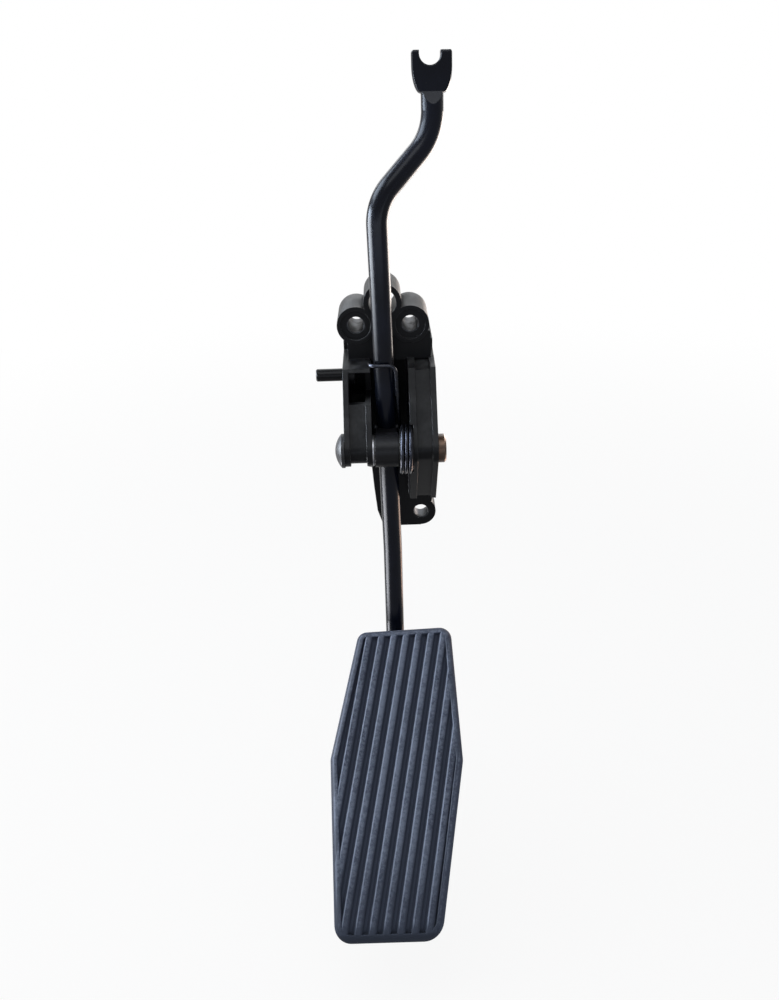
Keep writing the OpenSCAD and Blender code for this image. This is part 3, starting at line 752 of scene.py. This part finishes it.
@dataclass
class Lever:
    """The bent steel bar, flattened and slotted into a cable fork at its top."""

    finishes: Finishes
    pad: PadFrame
    path: Tuple[Point, ...] = (
        (19.8, -19.5, 82.0), (19.8, -22.0, 68.8), (-1.1, -32.0, 47.8), (1.2, -32.0, -96.2))
    foot: Tuple[Point, ...] = ((1.1, 65.0, -12.03), (1.1, -20.0, -12.03))
    bends: Tuple[float, ...] = (0.0, 20.0, 18.0, 24.0, 14.0, 0.0)
    radius: float = 4.0
    fork_top: float = 95.4
    fork_half: float = 7.2
    fork_thick: float = 3.6
    slot: float = 7.6
    slot_x: float = -0.7
    slot_rise: float = 9.0
    shoulder: float = 9.0
    facet: float = 4.2
    facet_step: float = 0.2
    land: float = 0.4
    round_corner: float = 66.0
    round_below: float = -50.0
    tip: float = 0.8

    def corners(self) -> List[Point]:
        """The corners of the bar's centre line, from the fork down to its foot behind the tread."""
        return [*self.path, *(tuple(low) for low in self.pad.out(self.foot))]

    def section(self, z: float) -> np.ndarray:
        """The bar's outline at a height above the fork's root: round below it, then flat and wide.

        Args:
            z: Height along the bar from the fork's root, negative down the bar.

        Returns:
            Points across and through the bar.
        """
        r, half = self.radius, self.fork_thick / 2
        slope = (r + self.facet_step - half) / (self.facet + self.land)
        flat = half + slope * max(0.0, self.land - z)
        corner = min(math.asin(min(1.0, flat / r)), math.radians(self.round_corner))
        half_turn = math.pi
        sides = ((-corner, corner, 18), (corner, half_turn - corner, 14),
                 (half_turn - corner, half_turn + corner, 18),
                 (half_turn + corner, 2 * half_turn - corner, 14))
        turns = np.concatenate([np.linspace(a, b, count, endpoint=False) for a, b, count in sides])
        x, y = r * np.cos(turns), np.clip(r * np.sin(turns), -flat, flat)
        grow = min(1.0, max(0.0, z / self.shoulder))
        wide = (self.fork_half - r) * math.sqrt(1 - (1 - grow) ** 2)
        x = x + wide * np.clip(x / (r * math.cos(corner)), -1, 1)
        return np.stack([x, y], 1)

    def build(self) -> Object:
        """The whole bar as one skin."""
        points = self.corners()
        line = filleted(points, self.bends, step=5.0, turn=3.0)[::-1]
        frames = carried(line, (1, 0, 0))
        root, up = np.array(points[0]), unit(np.subtract(points[0], points[1]))
        top = (self.fork_top - root[2]) / up[2]
        plain = self.section(self.round_below)

        # The rounded lower end and the round bar, up to the last points before the fork
        x, y, t = frames[0]
        rings = [set_out(plain * size, line[0] + t * along, x, y)
                 for along, size in ((0.0, 0.8), (0.35, 0.93), (1.0, 1.0))]
        for (x, y, _), at in list(zip(frames, line))[1:-5]:
            rings.append(set_out(plain, at, x, y))

        # The fork: fine rings over the facet and the shoulders, then the rounded tips
        across, through = frames[-1][0], frames[-1][1]
        for z in [*np.arange(-6.0, 0.3, 0.3), 0.4, 0.6, *np.arange(0.9, 9.1, 0.45), 9.6, 11.0, 12.4,
                  *(top - left for left in (0.7, 0.25, 0.06, 0.0))]:
            ring = self.section(z)
            left = top - z
            if left < self.tip:
                shrink = 0.5 * (1 - math.sqrt(max(0.0, 1 - (1 - left / self.tip) ** 2)))
                ring = ring * (1 - shrink / np.array([self.fork_half, self.fork_thick / 2]))
            rings.append(set_out(ring, root + up * z, across, through))
        bar = piece("bent_lever", *closed_rings(rings), self.finishes.rod)
        combine(bar, [self.slot_cutter(top, across, through, up)], "DIFFERENCE")
        smooth(bar, angle=22)
        weigh(bar)
        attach(bar, Body.LEVER.value)
        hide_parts("lever_rod")
        return bar

    def slot_cutter(self, top: float, across: np.ndarray, through: np.ndarray, up: np.ndarray) -> Object:
        """The cable slot's cutter, flared at both faces."""
        half = self.fork_thick / 2
        middle = np.array(self.corners()[0]) + up * (top - 1) + across * self.slot_x
        flares = [(9.0, 0.6), (half + 0.05, 0.5), (half - 0.12, 0.24), (half - 0.45, 0.0)]
        rings = []
        for y, flare in [(-y, flare) for y, flare in flares] + flares[::-1]:
            a = self.slot / 2 + flare
            arc = [(a * math.cos(t), a * math.sin(t)) for t in np.linspace(-math.pi, 0, 33)]
            outline = np.array(arc + [(a, self.slot_rise), (-a, self.slot_rise)])
            rings.append(set_out(outline, middle + through * y, across, up))
        return piece("slot_cutter", *closed_rings(rings[::-1]), self.finishes.rod)


@dataclass
class Pad:
    """The rubber tread, its soft edges and its slanted grooves."""

    finishes: Finishes
    frame: PadFrame
    length: float = 121.4
    width: float = 54.6
    end_width: float = 40.5
    skew: float = 5.25
    left_bend: float = 7.0
    right_bend: float = 5.0
    plate_seat: Tuple[float, float] = (-8.03, 2.57)
    radii: Tuple[float, ...] = (4.6, 7.0, 6.4, 8.0, 7.0, 5.2)
    edge: float = 2.8
    back: float = -9.5
    corner_lift: float = 1.4
    corner_steps: int = 9
    least_radius: float = 0.8
    groove_width: float = 2.3
    grooves: int = 10
    groove_reach: float = 75.0
    rim: float = 3.0
    droop: float = 2.4
    droop_reach: float = 9.0
    droop_steps: int = 6
    droop_from: float = -8.0
    droop_over: float = 5.0

    def corners(self) -> np.ndarray:
        """The outline's corners, counter-clockwise."""
        e, s, h, w = self.end_width / 2, self.skew, self.length / 2, self.width / 2
        return np.array([
            (-e + s, h), (-w, self.left_bend), (-e - s, -h),
            (e - s, -h), (w, self.right_bend), (e + s, h + self.corner_lift)])

    def outline(self, inset: float) -> np.ndarray:
        """The outline moved in, with rounded corners, as points counter-clockwise."""
        pts = self.corners()
        edges = [unit(np.roll(pts, -1, 0)[i] - pts[i]) for i in range(len(pts))]
        outs = [np.array([e[1], -e[0]]) for e in edges]
        found = []
        for i, radius in enumerate(self.radii):
            a, b = outs[i - 1], outs[i]
            corner = max(self.least_radius, radius - inset)
            centre = pts[i] - (inset + corner) * (a + b) / (1 + a @ b)
            start, end = math.atan2(a[1], a[0]), math.atan2(b[1], b[0])
            sweep = (end - start) % (2 * math.pi)
            for k in range(self.corner_steps):
                t = start + sweep * k / (self.corner_steps - 1)
                found.append(centre + corner * np.array([math.cos(t), math.sin(t)]))
        return np.array(found)

    def stack(self, levels: Sequence[Tuple[float, float]], name: str) -> Object:
        """A closed solid in the pad's own frame, from each level's height and inset."""
        rings = [np.insert(self.outline(inset), 2, z, axis=1) for z, inset in levels]
        return piece(name, *closed_rings(rings), self.finishes.tread)

    def groove(self) -> Object:
        """One groove's cutter along Y: its left lip is soft, its right lip a narrow bevel."""
        w, d = self.groove_width / 2, GROOVE_DEPTH
        right = [(w + 1.1, 0.6), (w + 0.62, 0.02), (w + 0.52, -0.05), (w + 0.08, -0.5), (w, -0.62),
                 (w - 0.1, -d + 0.4), (w - 0.25, -d + 0.12), (w - 0.6, -d)]
        left = [(-w - 1.5, 0.6), (-w - 1.0, 0.02), (-w - 0.72, -0.06), (-w - 0.4, -0.2),
                (-w - 0.16, -0.42), (-w, -0.75), (-w + 0.1, -d + 0.4), (-w + 0.25, -d + 0.12),
                (-w + 0.6, -d)]
        ring = np.array(right + left[::-1])[::-1]
        rings = [np.insert(ring, 1, y, axis=1) for y in (self.groove_reach, -self.groove_reach)]
        return piece("groove_cutter", *closed_rings(rings), self.finishes.tread)

    def roll_end(self, tread: Object) -> None:
        """Rolls the tread's lowest few millimetres down, and sets the tread in its place."""
        reach, start = self.droop_reach * MM, (-self.length / 2 + self.droop_reach) * MM
        made = bmesh.new()
        made.from_mesh(tread.data)
        for k in range(self.droop_steps):
            bmesh.ops.bisect_plane(
                made, geom=[*made.verts, *made.edges, *made.faces], dist=1e-7,
                plane_co=(0, start - reach * k / self.droop_steps, 0), plane_no=(0, 1, 0))
        for v in made.verts:
            past = max(0.0, start - v.co.y) / reach
            firm = min(1.0, max(0.0, (v.co.z / MM - self.droop_from) / self.droop_over))
            v.co.z -= self.droop * MM * past ** 2 * firm
        lean = Matrix.Rotation(math.radians(self.frame.tilt), 4, "X")
        place = Matrix.Translation(Vector(self.frame.centre) * MM) @ lean
        bmesh.ops.transform(made, matrix=place, verts=made.verts)
        made.to_mesh(tread.data)
        made.free()

    def build(self) -> Object:
        """The tread: a rounded block, hollowed for the foot plate and grooved."""
        e, rubber = self.edge, self.finishes.tread
        block = [(self.back, 0.6), (self.back + 0.2, 0.2), (self.back + 0.7, 0.0), (-e, 0.0)]
        block += [(-e + e * math.sin(t), e * (1 - math.cos(t))) for t in np.radians(range(12, 91, 13))]
        tread = self.stack(block, "tread")
        seat, inset = self.plate_seat
        pocket = self.stack([(seat, inset), (-6.0, inset)], "plate_pocket")
        mouth = self.stack([(-11.0, 5.0), (-7.0, 5.0)], "back_mouth")
        notch = piece("bar_notch", *closed_rings([
            np.array([(-5.5, 49.0, z), (7.7, 49.0, z), (7.7, 63.0, z), (-5.5, 63.0, z)])
            for z in (-11.0, -8.0)]), rubber)
        row = row_motif().work(self.groove(), rubber, Count=self.grooves, Pitch=GROOVE_STEP * MM)
        row.data.transform(Matrix.Rotation(math.radians(-GROOVE_SLANT), 4, "Z"))
        zone = self.stack([
            (-GROOVE_DEPTH - 1, self.rim + 0.3), (-0.5, self.rim), (-0.26, self.rim - 0.06),
            (-0.08, self.rim - 0.22), (0.03, self.rim - 0.55), (1.0, self.rim - 0.8)], "groove_zone")
        combine(row, [zone], "INTERSECT")
        combine(tread, [pocket, mouth, notch, row], "DIFFERENCE")
        self.roll_end(tread)
        smooth(tread, angle=40)
        weigh(tread)
        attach(tread, Body.LEVER.value)
        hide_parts("pedal_pad")
        return tread


@dataclass
class Spring:
    """The wound return spring, its tail held by the bracket and its hook by the lever."""

    finishes: Finishes
    pivot: Tuple[float, float] = (-42.8, -44.0)
    mean: float = 9.15
    wire: float = 0.75
    pitch: float = 1.65
    start: float = 9.6125
    turns: float = 2.5
    tail_end: float = -14.0
    hook: Point = (4.3, -36.85, -11.4)
    hook_end: float = -5.6
    hook_depth: float = 3.4
    hook_rise: float = 4.0
    bends: Tuple[float, ...] = (0.0, 16.0, 3.2, 2.4, 0.0)
    step: float = 6.0

    def build(self) -> Object:
        """The wire from its tail round the coils to its hook."""
        y0, z0 = self.pivot
        back = self.start - self.turns * self.pitch

        def coil(x: float, degrees: float) -> Tuple[float, float, float]:
            """A point of the coils at x, degrees round from the firewall's side."""
            t = math.radians(degrees)
            return x, y0 + self.mean * math.cos(t), z0 + self.mean * math.sin(t)

        line = [(self.start, y, z0 + self.mean) for y in np.linspace(self.tail_end, y0, 8)[:-1]]
        for a in np.arange(90.0, 90 + 360 * self.turns + 0.1, self.step):
            line.append(coil(self.start - self.pitch * (a - 90) / 360, a))
        line += [coil(back, a) for a in np.arange(270.0 + self.step, 360.1, self.step)]
        hx, hy, hz = self.hook
        leg = filleted([
            (back, y0 + self.mean, z0), (back, y0 + self.mean, z0 + self.hook_rise), (hx, hy, hz),
            (self.hook_end, hy, hz), (self.hook_end, hy + self.hook_depth, hz)],
            self.bends, step=2.5, turn=9.0)
        line += [tuple(p) for p in leg[1:]]
        spring = line_object("return_wire", line)
        spring.data.materials.append(self.finishes.spring.material())
        wire_motif().work(spring, self.finishes.spring, Radius=self.wire * MM, Sides=20)
        smooth(spring, angle=50)
        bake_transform(spring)
        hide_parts("return_spring")
        return spring


@dataclass
class Welds:
    """Weld beads between bar and hub and between bar and foot plate."""

    finishes: Finishes
    pad: PadFrame
    pitch: float = 1.25
    hub_width: float = 1.2
    foot_width: float = 1.5
    seed: int = 5

    def build(self) -> List[Object]:
        """Both groups of beads."""
        made = []
        hub = [[(side * 4.35, -33.6, z) for z in np.linspace(-49.6, -38.4, 12)] for side in (-1, 1)]
        foot = [self.pad.out([(1.1 + side * 4.9, y, -9.3) for y in np.linspace(-16, 50, 60)])
                for side in (-1, 1)]
        ripple = ripple_motif()
        for name, lines, width in (
                ("hub_weld", hub, self.hub_width), ("foot_weld", foot, self.foot_width)):
            parts = []
            for i, line in enumerate(lines):
                bead = line_object(f"{name}_{i}", line)
                bead.data.materials.append(self.finishes.weld.material())
                parts.append(ripple.work(
                    bead, self.finishes.weld, Pitch=self.pitch * MM, Width=width * MM,
                    Height=width * MM, Seed=self.seed + i))
            made.append(self.join(name, parts))
        for bead in made:
            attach(bead, Body.LEVER.value)
        return made

    def join(self, name: str, parts: Sequence[Object]) -> Object:
        """One object from several meshes."""
        verts, faces, base = [], [], 0
        for part in parts:
            verts += [v.co / MM for v in part.data.vertices]
            faces += [[base + i for i in p.vertices] for p in part.data.polygons]
            base = len(verts)
            bpy.data.objects.remove(part)
        found = piece(name, verts, faces, self.finishes.weld)
        smooth(found, angle=60)
        return found


@dataclass
class Solids:
    """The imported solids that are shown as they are, with a finish each."""

    finishes: Finishes

    def dress(self) -> List[Object]:
        """Gives each node its finish, and returns the nodes."""
        f = self.finishes
        finish = {
            "bracket": f.moulding, "side_peg": f.peg, "spring_spool": f.drum, "shaft_cap": f.cap,
            "upper_left_sleeve": f.sleeve, "upper_right_sleeve": f.sleeve, "lower_sleeve": f.sleeve,
            "pivot_shaft": f.shaft, "left_thrust_washer": f.washer, "hub": f.hub,
            "hub_bush_left": f.bush, "hub_bush_right": f.bush, "foot_plate": f.plate,
            "rest_buffer": f.buffer, "lever_rod": f.rod, "pedal_pad": f.tread,
            "return_spring": f.spring,
        }
        for name, node in frame["nodes"].items():
            for slot in node.material_slots:
                slot.material = finish[name].material()
        return list(frame["nodes"].values())


class Part(Enum):
    """What a lamp does: it sets the light level, or it is a panel that only gloss shows."""

    LEVEL = "level"
    PANEL = "panel"


@dataclass(frozen=True)
class Lamp:
    """A soft rectangular lamp.

    Its place, aim and sides are in metres, and its glow is its brightness where white paper is 1.
    """

    name: str
    part: Part
    at: Point
    aim: Point
    sides: Tuple[float, float]
    glow: float
    colour: Colour = WHITE

    def build(self) -> None:
        """Hangs the lamp."""
        light = bpy.data.lights.new(self.name, "AREA")
        light.shape = "RECTANGLE"
        light.size, light.size_y = self.sides
        light.energy = self.glow * math.pi * self.sides[0] * self.sides[1]
        light.color = self.colour
        found = stand(self.name, light)
        found.location = self.at
        towards = Vector(self.aim) - Vector(self.at)
        found.rotation_euler = towards.to_track_quat("-Z", "Y").to_euler()
        found.visible_camera = False
        found.visible_diffuse = self.part is Part.LEVEL
        found.visible_glossy = self.part is Part.PANEL


@dataclass
class Studio:
    """Floor, backdrop, lamps and world."""

    floor_z: float = -0.236
    floor_side: float = 12.0
    level: float = 0.5
    shadow: float = 0.12
    shadow_from: float = 0.3
    shadow_to: float = 0.9
    lamps: Tuple[Lamp, ...] = (
        Lamp("overhead", Part.LEVEL, (-0.25, 0.0, 0.9), (0, -0.06, -0.1), (0.9, 0.9), 1.2,
             (0.96, 0.98, 1.0)),
        Lamp("side_level", Part.LEVEL, (-0.8, -0.1, 0.25), (0, -0.04, -0.05), (0.5, 0.7), 2.4,
             COOL_WHITE),
        Lamp("window", Part.PANEL, (-0.3, -0.045, 0.0025), (0, -0.045, 0.0025), (0.24, 0.115), 56.0,
             (0.84, 0.91, 1.0)),
        Lamp("high_window", Part.PANEL, (-0.3, -0.02, 0.085), (0, -0.02, 0.085), (0.22, 0.05), 75.0,
             (0.72, 0.84, 1.0)),
        Lamp("mid_window", Part.PANEL, (-0.3, -0.045, -0.08), (0, -0.045, -0.08), (0.24, 0.05), 22.0,
             (0.86, 0.92, 1.0)),
        Lamp("low_window", Part.PANEL, (-0.13, -0.06, -0.157), (0, -0.06, -0.157), (0.1, 0.065), 34.0,
             (0.93, 0.94, 1.0)),
        Lamp("top_window", Part.PANEL, (-0.26, 0.0, 0.27), (0, -0.02, 0.06), (0.26, 0.2), 24.0,
             (0.74, 0.85, 1.0)),
        Lamp("sky_panel", Part.PANEL, (0, -0.35, -0.005), (0, -0.03, 0.03), (0.6, 0.07), 3.8,
             (0.78, 0.87, 1.0)),
        Lamp("right_panel", Part.PANEL, (0.21, 0.18, -0.03), (0, -0.03, -0.03), (0.2, 0.17), 15.0,
             (1.0, 0.88, 0.8)),
        Lamp("low_right", Part.PANEL, (0.12, 0.04, -0.16), (0, -0.06, -0.13), (0.06, 0.08), 10.0,
             (1.0, 0.66, 0.5)),
        Lamp("back_panel", Part.PANEL, (-0.1, 0.9, 0.5), (0, 0, 0), (1.3, 0.6), 3.5,
             (0.95, 0.98, 1.0)),
        Lamp("ceiling", Part.PANEL, (0.1, -0.75, 1.3), (0, 0, -0.05), (0.9, 0.9), 6.0,
             (0.92, 0.96, 1.0)),
    )

    def paper(self) -> bpy.types.Material:
        """White paper: it bounces light, and is seen as plain white but for part of the shadow."""
        found = bpy.data.materials.new("white_paper")
        found.use_nodes = True
        g = Graph(found.node_tree)
        at = g.node("ShaderNodeTexCoord", out="Object")
        away = g.node("ShaderNodeVectorMath", {"operation": "LENGTH"}, {0: at}, "Value")
        near = 1.0 - away.ramp(self.shadow_from, self.shadow_to)
        paper = g.node("ShaderNodeBsdfDiffuse", {}, {"Color": PAPER})
        white = g.node("ShaderNodeEmission", {}, {"Color": WHITE, "Strength": 1.0})
        shown = self.seen(g) * (1.0 - self.shadow * near)
        mixed = g.node("ShaderNodeMixShader", {}, {0: shown, 1: paper, 2: white})
        g.raw("ShaderNodeOutputMaterial", {}, {"Surface": mixed})
        return found

    def seen(self, g: Graph) -> Sock:
        """1 for what the camera, gloss and glass see, 0 for the light that falls on things."""
        ray = g.raw("ShaderNodeLightPath")
        camera, gloss, glass = (
            Sock(g, ray.outputs[f"Is {kind} Ray"]) for kind in ("Camera", "Glossy", "Transmission"))
        return (camera + gloss + glass).ramp(0.0, 1.0)

    def floor(self) -> None:
        """A wide sheet under the pedal."""
        mesh = bpy.data.meshes.new("floor")
        h, z = self.floor_side / 2, self.floor_z
        mesh.from_pydata([(-h, -h, z), (h, -h, z), (h, h, z), (-h, h, z)], [], [(0, 1, 2, 3)])
        mesh.materials.append(self.paper())
        stand("floor", mesh)

    def world(self) -> None:
        """White where it is seen, and an even level where it lights."""
        world = bpy.data.worlds.new("studio")
        bpy.context.scene.world = world
        world.use_nodes = True
        g = Graph(world.node_tree)
        seen = self.seen(g)
        light = g.node("ShaderNodeBackground", {}, {
            "Color": seen.between(COOL_WHITE, WHITE), "Strength": seen + (1.0 - seen) * self.level})
        g.raw("ShaderNodeOutputWorld", {}, {"Surface": light})

    def build(self) -> None:
        """Puts up the studio."""
        self.floor()
        self.world()
        for lamp in self.lamps:
            lamp.build()


@dataclass
class PhotoCamera:
    """The photograph's camera: where it stands, how far it looks down and how far it is rolled."""

    at: Point = (0.0004, -0.3496, 0.0965)
    down: float = 28.0
    roll: float = 1.8
    lens: float = 30.6
    film: float = 36.0

    def build(self) -> None:
        """Sets it up and makes it the scene's camera."""
        camera = bpy.data.cameras.new("photo_camera")
        camera.sensor_fit = "VERTICAL"
        camera.sensor_height = camera.sensor_width = self.film
        camera.lens = self.lens
        camera.clip_start = 0.01
        camera.clip_end = 50.0
        d, r = math.radians(self.down), math.radians(self.roll)
        forward = Vector((0, math.cos(d), -math.sin(d)))
        plumb = Vector((0, math.sin(d), math.cos(d)))
        right = Vector((1, 0, 0)) * math.cos(r) - plumb * math.sin(r)
        up = Vector((1, 0, 0)) * math.sin(r) + plumb * math.cos(r)
        found = stand("photo_camera", camera)
        turned = Matrix((right, up, -forward)).transposed().to_4x4()
        found.matrix_world = Matrix.Translation(Vector(self.at)) @ turned
        bpy.context.scene.camera = found


def main() -> None:
    """Builds the pedal in order and reports each piece."""
    logging.basicConfig(level=logging.INFO, format="%(name)s: %(message)s")
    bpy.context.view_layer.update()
    scene = bpy.context.scene
    scene.view_settings.view_transform = "Standard"
    PhotoCamera().build()
    Studio().build()
    finishes, pad = Finishes(), PadFrame()
    made = Solids(finishes).dress()
    made.append(Lever(finishes, pad).build())
    made.append(Pad(finishes, pad).build())
    made.append(Spring(finishes).build())
    made += Welds(finishes, pad).build()
    for found in made:
        log.info("%s: %d faces", found.name, len(found.data.polygons))


if __name__ == "__main__":
    main()
